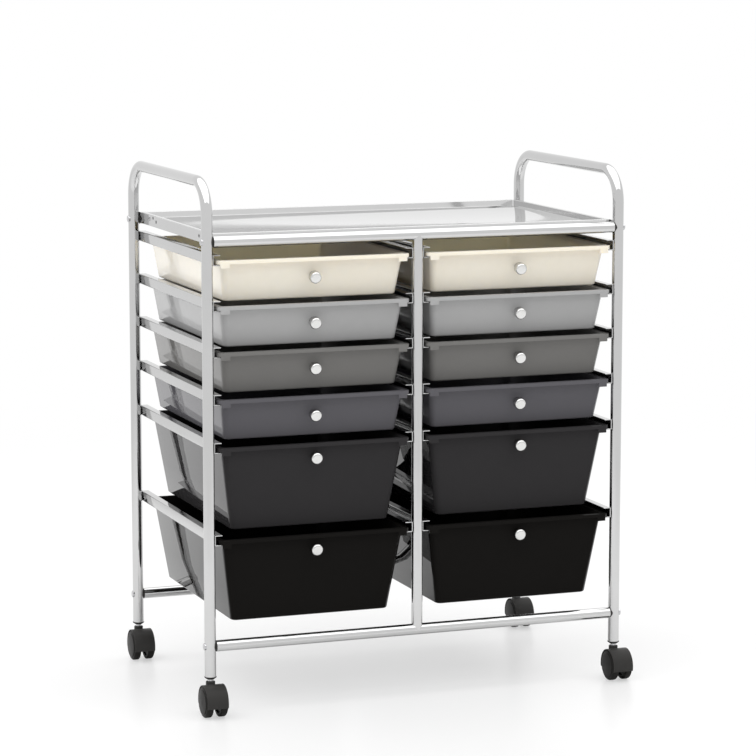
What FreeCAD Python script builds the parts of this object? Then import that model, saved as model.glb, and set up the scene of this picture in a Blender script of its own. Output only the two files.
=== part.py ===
import FreeCAD, Part
import math
import os
import Sketcher

# Rolling drawer cart: a chromed tube frame on four swivel casters, with two columns of six
# plastic drawers that slide on sheet-metal rails, and a shallow metal tray on top.
# Millimetres. +X is to the right, +Y to the back, +Z up. The origin is on the floor,
# midway between the four wheel axles.

doc = FreeCAD.newDocument("rolling_drawer_cart")
sheet = doc.addObject("Spreadsheet::Sheet", "sizes")

drivingSizes = {
    # frame tubes
    "post_pitch_x": 620.0,
    "post_pitch_y": 365.0,
    "tube_radius": 8.0,
    "tube_wall": 1.2,
    "tube_low_end": 54.8,
    "handle_height": 746.8,
    "handle_bend": 46.0,
    "bottom_bar_height": 97.7,
    "top_bar_height": 665.8,
    "bar_end": 8.4,
    # drawer rails, by row from the top
    "row_height_1": 640.0,
    "row_height_2": 576.0,
    "row_height_3": 511.8,
    "row_height_4": 445.5,
    "row_height_5": 378.0,
    "row_height_6": 247.6,
    "rail_height": 14.8,
    "rail_depth": 11.0,
    "rail_sheet": 1.2,
    "rail_bend": 1.6,
    "rail_overrun": 2.5,
    "rail_seat": 0.5,
    # top tray and the two angles that carry it
    "angle_low": 660.3,
    "angle_top": 676.0,
    "angle_flange": 14.0,
    "angle_hole_radius": 2.5,
    "angle_hole_shift": -15.4,
    "angle_hole_low": 668.6,
    "angle_hole_low_reach": 106.0,
    "angle_hole_high": 672.9,
    "angle_hole_high_reach": 121.5,
    "tray_gap": 0.3,
    "tray_sheet": 1.0,
    "tray_floor": 667.6,
    "tray_top": 676.4,
    "tray_rim_width": 5.5,
    "tray_corner": 4.0,
    "tray_groove_corner": 3.0,
    "tray_inner_corner": 2.0,
    "tray_fold": 0.6,
    # bolts and the threaded plugs that they pull on
    "bolt_radius": 2.5,
    "bolt_hole_radius": 2.7,
    "bolt_reach": 26.0,
    "bolt_head_radius": 5.0,
    "bolt_head_low": 6.0,
    "bolt_head_top": 9.6,
    "bolt_head_dome": 1.2,
    "plug_length": 22.0,
    # drawers: measured from the front post plane and the middle of the rail
    "rim_half_width": 142.0,
    "rim_top": -0.3,
    "rim_thickness": 2.0,
    "rim_front": -6.5,
    "rim_rear": 354.0,
    "rim_corner": 8.0,
    "rim_band": 5.0,
    "rim_edge": 1.0,
    "lip_thickness": 2.0,
    "runner_low": -6.0,
    "runner_front": 3.0,
    "stop_inner": 127.0,
    "stop_outer": 137.5,
    "stop_rear": -3.0,
    "stop_low": -10.8,
    "tub_half_width": 135.5,
    "tub_front": 0.4,
    "tub_rear": 348.5,
    "tub_corner": 8.0,
    "tub_inner_corner": 6.0,
    "tub_wall": 2.0,
    "tub_edge": 3.0,
    "tub_inner_edge": 1.0,
    "shallow_side_draft": 7.5,
    "shallow_end_draft": 12.5,
    "deep_side_draft": 8.5,
    "deep_end_draft": 8.0,
    "shallow_low": -58.7,
    "deep_low": -120.1,
    # knobs
    "shallow_knob": -24.9,
    "deep_knob": -18.6,
    "knob_radius": 8.5,
    "knob_reach": 18.0,
    "knob_head": 9.0,
    "knob_neck_radius": 4.5,
    "knob_neck_length": 6.0,
    "knob_edge": 2.0,
    "knob_screw_radius": 1.75,
    "knob_screw_reach": 10.0,
    "knob_screw_hole": 1.9,
    "knob_screw_head_radius": 4.0,
    "knob_screw_head": 2.4,
    # casters
    "caster_trail": 13.5,
    "wheel_radius": 22.0,
    "wheel_inner_face": 3.8,
    "wheel_outer_face": 16.7,
    "wheel_tread_round": 3.0,
    "wheel_disc_radius": 18.0,
    "wheel_groove_depth": 1.0,
    "wheel_hub_radius": 6.0,
    "wheel_hollow_radius": 17.0,
    "wheel_hollow_depth": 4.0,
    "wheel_cap": 2.2,
    "axle_radius": 2.5,
    "axle_end_gap": 0.2,
    "running_gap": 0.05,
    "hood_radius": 23.8,
    "hood_well_radius": 22.6,
    "hood_half_width": 15.2,
    "hood_web": 3.3,
    "hood_low": -6.0,
    "neck_radius": 6.6,
    "neck_top": 48.1,
    "neck_edge": 1.0,
    "stem_radius": 4.0,
    "stem_low": 43.0,
    "stem_top": 84.0,
    "stem_end_radius": 2.5,
    "socket_top": 88.0,
    "socket_low": 51.2,
    "socket_flange_radius": 8.5,
    "socket_dome": 2.4,
}

derivedSizes = {
    "half_x": "=post_pitch_x / 2",
    "front_y": "=caster_trail - post_pitch_y / 2",
    "rear_y": "=caster_trail + post_pitch_y / 2",
    "column_x": "=post_pitch_x / 4",
    "tube_bore": "=tube_radius - tube_wall",
    "rail_length": "=post_pitch_y + 2 * rail_overrun",
    "rail_half": "=rail_height / 2",
    "rail_half_inside": "=rail_height / 2 - rail_sheet",
    "outer_web_x": "=half_x - tube_radius + rail_seat",
    "middle_web_x": "=tube_radius - rail_seat",
    "bar_length": "=post_pitch_x - 2 * bar_end",
    "angle_floor": "=angle_low + rail_sheet",
    "angle_hole_low_front": "=angle_hole_shift - angle_hole_low_reach",
    "angle_hole_low_rear": "=angle_hole_shift + angle_hole_low_reach",
    "angle_hole_high_front": "=angle_hole_shift - angle_hole_high_reach",
    "angle_hole_high_rear": "=angle_hole_shift + angle_hole_high_reach",
    "tray_half_x": "=outer_web_x - rail_sheet - tray_gap",
    "tray_half_y": "=post_pitch_y / 2 - tube_radius - tray_gap",
    "rim_low": "=rim_top - rim_thickness",
    "lip_low": "=rim_top - rim_band",
    "lip_inner": "=rim_half_width - lip_thickness",
    "runner_rear": "=tub_rear - tub_corner",
    "knob_head_base": "=knob_reach - knob_head",
    "knob_screw_head_end": "=tub_wall + knob_screw_head",
    "wheel_groove_floor": "=wheel_outer_face - wheel_groove_depth",
    "wheel_hollow_floor": "=wheel_inner_face + wheel_hollow_depth",
    "wheel_bore": "=axle_radius + running_gap",
    "wheel_bore_end": "=wheel_outer_face - wheel_cap",
    "axle_half": "=wheel_bore_end - axle_end_gap",
    "neck_height": "=neck_top - wheel_radius",
    "stem_shoulder": "=stem_top - stem_radius + stem_end_radius",
    "socket_bore": "=stem_radius + running_gap",
    "socket_bore_end": "=stem_top + axle_end_gap",
}

# The walls of the two tubs at their top and bottom, outside and inside
derivedSizes["inside_top"] = "=rim_top + tub_wall"
for kind in ("shallow", "deep"):
    inside = kind + "_inside"
    derivedSizes[inside + "_low"] = f"={kind}_low + tub_wall"
    for block, wall, top in ((kind, "0", "rim_top"), (inside, "tub_wall", "inside_top")):
        for level, height in (("top", top), ("low", block + "_low")):
            sideInset = f"{wall} + (rim_top - {height}) * tan({kind}_side_draft)"
            endInset = f"{wall} + (rim_top - {height}) * tan({kind}_end_draft)"
            derivedSizes[f"{block}_half_{level}"] = f"=tub_half_width - ({sideInset})"
            derivedSizes[f"{block}_front_{level}"] = f"=tub_front + {endInset}"
            derivedSizes[f"{block}_rear_{level}"] = f"=tub_rear - ({endInset})"

cells = list(drivingSizes.items()) + list(derivedSizes.items())
for row, (name, value) in enumerate(cells, 1):
    sheet.set(f"A{row}", name)
    sheet.set(f"B{row}", str(value))
    sheet.setAlias(f"B{row}", name)
doc.recompute()

vector = FreeCAD.Vector
turn = FreeCAD.Rotation
constraint = Sketcher.Constraint
upward = vector(0, 0, 1)
upright = turn()
alongX = turn(vector(0, 1, 0), 90)
halfTurn = turn(upward, 180)
horizontalAxis, verticalAxis = -1, -2
shallowRows = (1, 2, 3, 4)
deepRows = (5, 6)
sides = {"left": "-sizes.half_x", "right": "sizes.half_x"}
ends = {"front": "sizes.front_y", "rear": "sizes.rear_y"}
bars = {"bottom": "sizes.bottom_bar_height", "top": "sizes.top_bar_height"}
outward = {"left": halfTurn, "right": upright}
inward = {"left": upright, "right": halfTurn}
nodes = []


def node(thing, label):
    """Marks an object as a finished sub-part under its own name."""
    thing.Label = label
    nodes.append(thing)


# Sizes and sketches


def size(name):
    """The number in a cell, by its alias, which may have a leading minus."""
    if name.startswith("-"):
        return -size(name[1:])
    return 0.0 if name == "0" else float(sheet.get(name))


def cell(name):
    """The same cell as an expression."""
    if name.startswith("-"):
        return "-" + cell(name[1:])
    return "0" if name == "0" else f"sizes.{name}"


def bind(thing, **expressions):
    for name, expression in expressions.items():
        thing.setExpression(name, expression)


def place(thing, x="0", y="0", z="0"):
    for axis, expression in zip("xyz", (x, y, z)):
        thing.setExpression(f"Placement.Base.{axis}", expression)


def newBody(name):
    return doc.addObject("PartDesign::Body", name)


def newSketch(body, name, role, lift="0"):
    """A sketch on one of the body's own origin planes, lifted along that plane's normal."""
    plane = [feature for feature in body.Origin.OriginFeatures if feature.Role == role][0]
    sketch = body.newObject("Sketcher::SketchObject", name)
    sketch.AttachmentSupport = (plane, [""])
    sketch.MapMode = "FlatFace"
    sketch.setExpression("AttachmentOffset.Base.z", lift)
    return sketch


def dimension(sketch, name, rule, expression):
    sketch.renameConstraint(sketch.addConstraint(rule), name)
    sketch.setExpression(f"Constraints.{name}", expression)


def fixPoint(sketch, edge, end, x, y):
    """Ties one end of an edge, or a circle's centre, to a place given by two cell names."""
    if x == "0":
        sketch.addConstraint(constraint("PointOnObject", edge, end, verticalAxis))
    else:
        dimension(sketch, f"x_{edge}", constraint("DistanceX", -1, 1, edge, end, size(x)), cell(x))
    if y == "0":
        sketch.addConstraint(constraint("PointOnObject", edge, end, horizontalAxis))
    else:
        dimension(sketch, f"y_{edge}", constraint("DistanceY", -1, 1, edge, end, size(y)), cell(y))


def outline(sketch, corners):
    """A closed outline of straight edges through corners given as pairs of cell names."""
    first = sketch.GeometryCount
    points = [vector(size(x), size(y), 0) for x, y in corners]
    for start, stop in zip(points, points[1:] + points[:1]):
        sketch.addGeometry(Part.LineSegment(start, stop), False)
    for step, (x, y) in enumerate(corners):
        following = first + (step + 1) % len(corners)
        sketch.addConstraint(constraint("Coincident", first + step, 2, following, 1))
        fixPoint(sketch, first + step, 1, x, y)


def circle(sketch, radius, x="0", y="0"):
    centre = vector(size(x), size(y), 0)
    edge = sketch.addGeometry(Part.Circle(centre, upward, size(radius)), False)
    dimension(sketch, f"radius_{edge}", constraint("Radius", edge, size(radius)), cell(radius))
    fixPoint(sketch, edge, 3, x, y)


def roundedRectangle(sketch, halfWidth, front, rear, corner, sideInset="0", endInset="0"):
    """A rectangle with round corners. The insets are expressions that draw in its sides and ends."""
    first = sketch.GeometryCount
    wide, near, far, radius = size(halfWidth), size(front), size(rear), size(corner)
    right, low, high = wide - radius, near + radius, far - radius
    quarter = math.pi / 2

    def arc(x, y, quarters):
        whole = Part.Circle(vector(x, y, 0), upward, radius)
        return Part.ArcOfCircle(whole, quarters * quarter, (quarters + 1) * quarter)

    sketch.addGeometry([
        Part.LineSegment(vector(-right, near, 0), vector(right, near, 0)),
        arc(right, low, -1),
        Part.LineSegment(vector(wide, low, 0), vector(wide, high, 0)),
        arc(right, high, 0),
        Part.LineSegment(vector(right, far, 0), vector(-right, far, 0)),
        arc(-right, high, 1),
        Part.LineSegment(vector(-wide, high, 0), vector(-wide, low, 0)),
        arc(-right, low, 2),
    ], False)
    for step in range(8):
        sketch.addConstraint(constraint("Tangent", first + step, 2, first + (step + 1) % 8, 1))
    for step in (3, 5, 7):
        sketch.addConstraint(constraint("Equal", first + 1, first + step))
    for step in (0, 4):
        sketch.addConstraint(constraint("Horizontal", first + step))
        sketch.addConstraint(constraint("Vertical", first + step + 2))
    rules = {
        "corner": (constraint("Radius", first + 1, radius), cell(corner)),
        "front": (constraint("DistanceY", -1, 1, first, 1, near), f"{cell(front)} + {endInset}"),
        "right": (constraint("DistanceX", -1, 1, first + 2, 1, wide), f"{cell(halfWidth)} - {sideInset}"),
        "rear": (constraint("DistanceY", -1, 1, first + 4, 1, far), f"{cell(rear)} - {endInset}"),
        "left": (constraint("DistanceX", -1, 1, first + 6, 1, -wide), f"{sideInset} - {cell(halfWidth)}"),
    }
    for name, (rule, expression) in rules.items():
        dimension(sketch, f"{name}_{first}", rule, expression)


# Features, primitives and copies


def pad(body, sketch, length, middle=False, reverse=False):
    feature = body.newObject("PartDesign::Pad", sketch.Name + "_pad")
    feature.Profile = sketch
    feature.Midplane = middle
    feature.Reversed = reverse
    bind(feature, Length=length)


def pocket(body, sketch, depth, middle=False, reverse=False):
    feature = body.newObject("PartDesign::Pocket", sketch.Name + "_pocket")
    feature.Profile = sketch
    feature.Midplane = middle
    feature.Reversed = reverse
    bind(feature, Length=depth)


def revolve(body, sketch, axis):
    feature = body.newObject("PartDesign::Revolution", sketch.Name + "_revolve")
    feature.Profile = sketch
    feature.ReferenceAxis = (sketch, [axis])
    feature.Angle = 360


def roundEdges(body, radius, wanted):
    """Rounds those edges of the body so far that the test picks."""
    doc.recompute()
    base = body.Tip
    edges = [f"Edge{index}" for index, edge in enumerate(base.Shape.Edges, 1) if wanted(edge)]
    feature = body.newObject("PartDesign::Fillet", base.Name + "_round")
    feature.Base = (base, edges)
    bind(feature, Radius=radius)


def levelAt(height):
    """A test for edges that lie at one height."""
    return lambda edge: max(abs(edge.BoundBox.ZMin - height), abs(edge.BoundBox.ZMax - height)) < 0.01


def ringAt(x, radius):
    """A test for round edges about the X axis, at one place and of one radius."""
    def wanted(edge):
        ring = edge.BoundBox
        return abs(ring.XMin - x) < 0.01 and ring.XLength < 0.01 and abs(ring.ZMax - radius) < 0.01
    return wanted


def rod(name, radius, length, turned=upright, **where):
    thing = doc.addObject("Part::Cylinder", name)
    thing.Placement = FreeCAD.Placement(vector(), turned)
    bind(thing, Radius=radius, Height=length)
    place(thing, **where)
    return thing


def cut(name, base, tool):
    thing = doc.addObject("Part::Cut", name)
    thing.Base = base
    thing.Tool = tool
    return thing


def group(name, things):
    thing = doc.addObject("Part::Compound", name)
    thing.Links = things
    return thing


def copyOf(master, name, turned=upright, **where):
    link = doc.addObject("App::Link", name)
    link.LinkedObject = master
    link.Placement = FreeCAD.Placement(vector(), turned)
    place(link, **where)
    return link


# Frame


def postEnvelopes(columns):
    """Plain cylinders where posts stand, for what is shaped to seat against them."""
    rods = []
    for column, x in columns.items():
        for end, y in ends.items():
            name = f"{column}_{end}_post_envelope"
            rods.append(rod(name, "sizes.tube_radius", "sizes.handle_height", x=x, y=y))
    return group("_".join(columns) + "_posts", rods)


def barEnvelopes(name, radius):
    """Plain cylinders along the four bars and through the side posts."""
    rods = []
    for level, z in bars.items():
        for end, y in ends.items():
            rods.append(rod(f"{level}_{end}_{name}", radius, "sizes.post_pitch_x + 2 * sizes.bolt_head_top",
                            alongX, x="-sizes.half_x - sizes.bolt_head_top", y=y, z=z))
    return group(name, rods)


def sideTube():
    """One tube, bent into two posts and the handle between them."""
    body = newBody("side_tube")
    path = newSketch(body, "side_tube_path", "YZ_Plane")
    low, top = size("tube_low_end"), size("handle_height")
    deep, bend = size("post_pitch_y"), size("handle_bend")
    frontBend = Part.Circle(vector(bend, top - bend, 0), upward, bend)
    rearBend = Part.Circle(vector(deep - bend, top - bend, 0), upward, bend)
    path.addGeometry([
        Part.LineSegment(vector(0, low, 0), vector(0, top - bend, 0)),
        Part.ArcOfCircle(frontBend, math.pi / 2, math.pi),
        Part.LineSegment(vector(bend, top, 0), vector(deep - bend, top, 0)),
        Part.ArcOfCircle(rearBend, 0, math.pi / 2),
        Part.LineSegment(vector(deep, top - bend, 0), vector(deep, low, 0)),
    ], False)
    path.addConstraint([
        constraint("Tangent", 0, 2, 1, 2),
        constraint("Tangent", 1, 1, 2, 1),
        constraint("Tangent", 2, 2, 3, 2),
        constraint("Tangent", 3, 1, 4, 1),
        constraint("Vertical", 0),
        constraint("Horizontal", 2),
        constraint("Vertical", 4),
        constraint("Equal", 1, 3),
        constraint("PointOnObject", 0, 1, verticalAxis),
    ])
    dimension(path, "bend", constraint("Radius", 1, bend), "sizes.handle_bend")
    dimension(path, "front_end", constraint("DistanceY", -1, 1, 0, 1, low), "sizes.tube_low_end")
    dimension(path, "rear_end", constraint("DistanceY", -1, 1, 4, 2, low), "sizes.tube_low_end")
    dimension(path, "height", constraint("DistanceY", -1, 1, 2, 1, top), "sizes.handle_height")
    dimension(path, "depth", constraint("DistanceX", -1, 1, 4, 2, deep), "sizes.post_pitch_y")
    profile = newSketch(body, "side_tube_profile", "XY_Plane", "sizes.tube_low_end")
    circle(profile, "tube_radius")
    circle(profile, "tube_bore")
    doc.recompute()
    pipe = body.newObject("PartDesign::AdditivePipe", "side_tube_pipe")
    pipe.Profile = profile
    pipe.Spine = path
    return body


def plainTube(name, length, turned, **where):
    outside = rod(name + "_outside", "sizes.tube_radius", length, turned, **where)
    inside = rod(name + "_inside", "sizes.tube_bore", length, turned, **where)
    return cut(name + "_tube", outside, inside)


def tubes(barShapes):
    """The two bent side frames, the straight-cut bars, and the mid posts with saddle-cut ends."""
    holes = barEnvelopes("bolt_hole", "sizes.bolt_hole_radius")
    bent = sideTube()
    for side, x in sides.items():
        copy = copyOf(bent, side + "_side_tube", x=x, y="sizes.front_y")
        node(cut(side + "_side_drilled", copy, holes), side + "_side_frame")
    for end, y in ends.items():
        for level, z in bars.items():
            name = f"{end}_{level}_bar"
            node(plainTube(name, "sizes.bar_length", alongX, x="sizes.bar_end - sizes.half_x", y=y, z=z),
                 name)
        name = f"{end}_mid_post"
        whole = plainTube(name, "sizes.top_bar_height - sizes.bottom_bar_height", upright,
                          y=y, z="sizes.bottom_bar_height")
        node(cut(name + "_coped", whole, barShapes), name)


def rails(sidePosts, midPosts):
    """Sheet channels that open towards the drawers, pressed a little round the posts."""
    body = newBody("rail")
    profile = newSketch(body, "rail_profile", "XZ_Plane")
    outline(profile, [
        ("0", "-rail_half"),
        ("rail_depth", "-rail_half"),
        ("rail_depth", "-rail_half_inside"),
        ("rail_sheet", "-rail_half_inside"),
        ("rail_sheet", "rail_half_inside"),
        ("rail_depth", "rail_half_inside"),
        ("rail_depth", "rail_half"),
        ("0", "rail_half"),
    ])
    pad(body, profile, "sizes.rail_length", middle=True)
    roundEdges(body, "sizes.rail_bend", lambda edge: edge.BoundBox.XMax < 0.01 and edge.BoundBox.YLength > 1)

    def column(name, turned, x):
        copies = []
        for row in shallowRows + deepRows:
            copies.append(copyOf(body, f"{name}_{row}", turned, x=x, y="sizes.caster_trail",
                                 z=f"sizes.row_height_{row}"))
        return copies

    left = group("left_rails", column("left_rail", inward["left"], "-sizes.outer_web_x"))
    right = group("right_rails", column("right_rail", inward["right"], "sizes.outer_web_x"))
    middle = group("inner_rails", column("left_inner_rail", outward["left"], "-sizes.middle_web_x")
                   + column("right_inner_rail", outward["right"], "sizes.middle_web_x"))
    node(cut("left_rails_seated", left, sidePosts), "left_outer_rails")
    node(cut("right_rails_seated", right, sidePosts), "right_outer_rails")
    node(cut("inner_rails_seated", middle, midPosts), "middle_rails")


def traySupports(sidePosts, barShapes):
    """Two angles between the posts, with a pair of holes near each end."""
    body = newBody("tray_angle")
    profile = newSketch(body, "tray_angle_profile", "XZ_Plane")
    outline(profile, [
        ("0", "angle_low"),
        ("angle_flange", "angle_low"),
        ("angle_flange", "angle_floor"),
        ("rail_sheet", "angle_floor"),
        ("rail_sheet", "angle_top"),
        ("0", "angle_top"),
    ])
    pad(body, profile, "sizes.post_pitch_y", middle=True)
    holes = newSketch(body, "tray_angle_holes", "YZ_Plane")
    for level in ("low", "high"):
        for end in ends:
            circle(holes, "angle_hole_radius", f"angle_hole_{level}_{end}", f"angle_hole_{level}")
    pocket(body, holes, "sizes.rail_sheet", reverse=True)
    copies = []
    for side in sides:
        sign = "-" if side == "left" else ""
        copies.append(copyOf(body, side + "_tray_angle", inward[side], x=f"{sign}sizes.outer_web_x",
                             y="sizes.caster_trail"))
    onPosts = cut("tray_angles_seated", group("tray_angles", copies), sidePosts)
    node(cut("tray_angles_coped", onPosts, barShapes), "top_side_rails")


def topTray():
    """A folded sheet pan: floor, low wall, and a skirt that stands on the angles."""
    body = newBody("tray")

    def region(name, lift, *loops):
        sketch = newSketch(body, name, "XY_Plane", lift)
        for corner, inset in loops:
            roundedRectangle(sketch, "tray_half_x", "-tray_half_y", "tray_half_y", corner, inset, inset)
        return sketch

    skirt = ("tray_groove_corner", "sizes.tray_sheet")
    wallBack = ("tray_groove_corner", "(sizes.tray_rim_width - sizes.tray_sheet)")
    block = region("tray_block", "sizes.angle_floor", ("tray_corner", "0"))
    pad(body, block, "sizes.tray_top - sizes.angle_floor")
    pan = region("tray_pan", "sizes.tray_top", ("tray_inner_corner", "sizes.tray_rim_width"))
    pocket(body, pan, "sizes.tray_top - sizes.tray_floor")
    under = region("tray_under", "sizes.angle_floor", skirt)
    pocket(body, under, "sizes.tray_floor - sizes.tray_sheet - sizes.angle_floor", reverse=True)
    groove = region("tray_groove", "sizes.angle_floor", skirt, wallBack)
    pocket(body, groove, "sizes.tray_top - sizes.tray_sheet - sizes.angle_floor", reverse=True)
    roundEdges(body, "sizes.tray_fold", levelAt(size("tray_top")))
    place(body, y="sizes.caster_trail")
    node(body, "top_tray")


def boltsAndPlugs():
    """Domed bolts through the posts, and the plugs in the bar ends that they screw into."""
    post = rod("bolted_post_envelope", "sizes.tube_radius", "4 * sizes.tube_radius",
               z="-2 * sizes.tube_radius")
    body = newBody("bolt_head")
    disc = newSketch(body, "bolt_head_disc", "YZ_Plane", "sizes.bolt_head_low")
    circle(disc, "bolt_head_radius")
    pad(body, disc, "sizes.bolt_head_top - sizes.bolt_head_low")
    roundEdges(body, "sizes.bolt_head_dome", ringAt(size("bolt_head_top"), size("bolt_head_radius")))
    bolt = doc.addObject("Part::Fuse", "bolt")
    bolt.Base = cut("bolt_head_seated", body, post)
    bolt.Tool = rod("bolt_shank", "sizes.bolt_radius", "sizes.bolt_reach + sizes.tube_radius + 1", alongX,
                    x="-sizes.bolt_reach")
    blank = rod("plug_blank", "sizes.tube_bore", "sizes.plug_length + sizes.tube_radius", alongX,
                x="-sizes.plug_length - sizes.tube_radius")
    bore = rod("plug_bore", "sizes.bolt_radius", "sizes.plug_length + sizes.tube_radius", alongX,
               x="-sizes.plug_length - sizes.tube_radius")
    plug = cut("plug", cut("plug_coped", blank, post), bore)
    for master, label in ((bolt, "frame_bolts"), (plug, "bar_end_plugs")):
        copies = []
        for side, x in sides.items():
            for end, y in ends.items():
                for level, z in bars.items():
                    name = f"{label}_{side}_{end}_{level}"
                    copies.append(copyOf(master, name, outward[side], x=x, y=y, z=z))
        node(group(label + "_group", copies), label)


# Drawers


def draftedBlock(name, kind, top, corner, edge):
    """A block with drafted sides and ends, round corners and a round lower edge."""
    body = newBody(name)
    low = kind + "_low"
    across = newSketch(body, name + "_across", "XZ_Plane", "-sizes.rim_front")
    outline(across, [("-" + kind + "_half_low", low), (kind + "_half_low", low),
                     (kind + "_half_top", top), ("-" + kind + "_half_top", top)])
    pad(body, across, "sizes.rim_rear - sizes.rim_front", reverse=True)
    along = newSketch(body, name + "_along", "YZ_Plane")
    outline(along, [("rim_front", low), (kind + "_front_low", low),
                    (kind + "_front_top", top), ("rim_front", top)])
    outline(along, [(kind + "_rear_low", low), ("rim_rear", low),
                    ("rim_rear", top), (kind + "_rear_top", top)])
    pocket(body, along, "4 * sizes.tub_half_width", middle=True)
    upwardRun = 0.9 * (size(top) - size(low))
    roundEdges(body, corner, lambda edge: edge.BoundBox.ZLength > upwardRun)
    roundEdges(body, edge, levelAt(size(low)))
    return body


def tub(kind):
    """A moulded tub: drafted walls, a flat rim with a lip, runners below it and two front stops."""
    name = kind + "_tub"
    body = draftedBlock(name, kind, "rim_top", "sizes.tub_corner", "sizes.tub_edge")
    rim = newSketch(body, name + "_rim", "XY_Plane", "sizes.rim_low")
    roundedRectangle(rim, "rim_half_width", "rim_front", "rim_rear", "rim_corner")
    pad(body, rim, "sizes.rim_thickness")
    lip = newSketch(body, name + "_lip", "XY_Plane", "sizes.rim_low")
    roundedRectangle(lip, "rim_half_width", "rim_front", "rim_rear", "rim_corner")
    roundedRectangle(lip, "rim_half_width", "rim_front", "rim_rear", "rim_corner",
                     "sizes.lip_thickness", "sizes.lip_thickness")
    pad(body, lip, "sizes.rim_low - sizes.lip_low", reverse=True)
    feet = newSketch(body, name + "_feet", "XY_Plane", "sizes.rim_low")
    stops = newSketch(body, name + "_stops", "XY_Plane", "sizes.rim_low")
    for sign in ("-", ""):
        inner, outer = sign + "lip_inner", sign + "rim_half_width"
        outline(feet, [(inner, "runner_front"), (outer, "runner_front"),
                       (outer, "runner_rear"), (inner, "runner_rear")])
        inner, outer = sign + "stop_inner", sign + "stop_outer"
        outline(stops, [(inner, "rim_front"), (outer, "rim_front"),
                        (outer, "stop_rear"), (inner, "stop_rear")])
    pad(body, feet, "sizes.rim_low - sizes.runner_low", reverse=True)
    pad(body, stops, "sizes.rim_low - sizes.stop_low", reverse=True)
    roundEdges(body, "sizes.rim_edge", levelAt(size("rim_top")))
    space = draftedBlock(kind + "_tub_space", kind + "_inside", "inside_top",
                         "sizes.tub_inner_corner", "sizes.tub_inner_edge")
    return cut(name + "_hollow", body, space)


def knob():
    """A turned knob along +X from the wall, and the screw that holds it through the wall."""
    body = newBody("knob")
    profile = newSketch(body, "knob_profile", "XY_Plane")
    outline(profile, [
        ("0", "knob_screw_radius"),
        ("0", "knob_neck_radius"),
        ("knob_neck_length", "knob_neck_radius"),
        ("knob_head_base", "knob_radius"),
        ("knob_reach", "knob_radius"),
        ("knob_reach", "0"),
        ("knob_screw_reach", "0"),
        ("knob_screw_reach", "knob_screw_radius"),
    ])
    revolve(body, profile, "H_Axis")
    roundEdges(body, "sizes.knob_edge", ringAt(size("knob_reach"), size("knob_radius")))
    screw = newBody("knob_screw")
    profile = newSketch(screw, "knob_screw_profile", "XY_Plane")
    outline(profile, [
        ("-knob_screw_head_end", "0"),
        ("knob_screw_reach", "0"),
        ("knob_screw_reach", "knob_screw_radius"),
        ("-tub_wall", "knob_screw_radius"),
        ("-tub_wall", "knob_screw_head_radius"),
        ("-knob_screw_head_end", "knob_screw_head_radius"),
    ])
    revolve(screw, profile, "H_Axis")
    return group("knob_and_screw", [body, screw])


def drawers():
    """Two columns of six; each knob is square to the drafted front wall."""
    handle = knob()
    for kind, rows in (("shallow", shallowRows), ("deep", deepRows)):
        lean = f"tan(sizes.{kind}_end_draft)"
        squareToWall = turn(vector(1, 0, 0), size(kind + "_end_draft")) * turn(upward, -90)
        wallAtKnob = f"sizes.tub_front + (sizes.rim_top - sizes.{kind}_knob) * {lean}"
        hole = rod(f"{kind}_knob_hole", "sizes.knob_screw_hole", "4 * sizes.tub_wall",
                   squareToWall * alongX, y=f"{wallAtKnob} + 2 * sizes.tub_wall",
                   z=f"sizes.{kind}_knob + 2 * sizes.tub_wall * {lean}")
        master = cut(f"{kind}_drawer", tub(kind), hole)
        for side in sides:
            x = "-sizes.column_x" if side == "left" else "sizes.column_x"
            for row in rows:
                z = f"sizes.row_height_{row}"
                name = f"{side}_drawer_{row}"
                copy = copyOf(master, name + "_copy", x=x, y="sizes.front_y", z=z)
                node(copy, f"{name}_tub")
                grip = copyOf(handle, name + "_knob_copy", squareToWall, x=x,
                              y=f"sizes.front_y + {wallAtKnob}", z=f"{z} + sizes.{kind}_knob")
                node(grip, f"{name}_knob")


# Casters: each piece is drawn about the middle of its axle


def casterHood():
    """A moulded hood over both wheels, with a web between them and a neck for the stem."""
    body = newBody("hood")
    side = newSketch(body, "hood_side", "YZ_Plane")
    radius, low = size("hood_radius"), size("hood_low")
    dip = math.asin(low / radius)
    reach = radius * math.cos(dip)
    side.addGeometry([
        Part.ArcOfCircle(Part.Circle(vector(), upward, radius), dip, math.pi - dip),
        Part.LineSegment(vector(-reach, low, 0), vector(reach, low, 0)),
    ], False)
    side.addConstraint([
        constraint("Coincident", 0, 2, 1, 1),
        constraint("Coincident", 1, 2, 0, 1),
        constraint("Coincident", 0, 3, -1, 1),
        constraint("Horizontal", 1),
    ])
    dimension(side, "radius", constraint("Radius", 0, radius), "sizes.hood_radius")
    dimension(side, "low", constraint("DistanceY", -1, 1, 1, 1, low), "sizes.hood_low")
    pad(body, side, "2 * sizes.hood_half_width", middle=True)
    neck = newSketch(body, "hood_neck", "XY_Plane")
    circle(neck, "neck_radius", "0", "caster_trail")
    pad(body, neck, "sizes.neck_height")
    roundEdges(body, "sizes.neck_edge", levelAt(size("neck_height")))
    for side, sign in (("right", ""), ("left", "-")):
        well = newSketch(body, side + "_well", "YZ_Plane", sign + "sizes.hood_web")
        circle(well, "hood_well_radius")
        pocket(body, well, "sizes.hood_half_width", reverse=side == "right")
    axleHole = rod("axle_hole", "sizes.axle_radius", "4 * sizes.hood_web", alongX, x="-2 * sizes.hood_web")
    stemHole = rod("stem_hole", "sizes.stem_radius", "sizes.neck_top", y="sizes.caster_trail",
                   z="sizes.stem_low - sizes.wheel_radius")
    return cut("hood_drilled", body, group("hood_holes", [axleHole, stemHole]))


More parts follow.
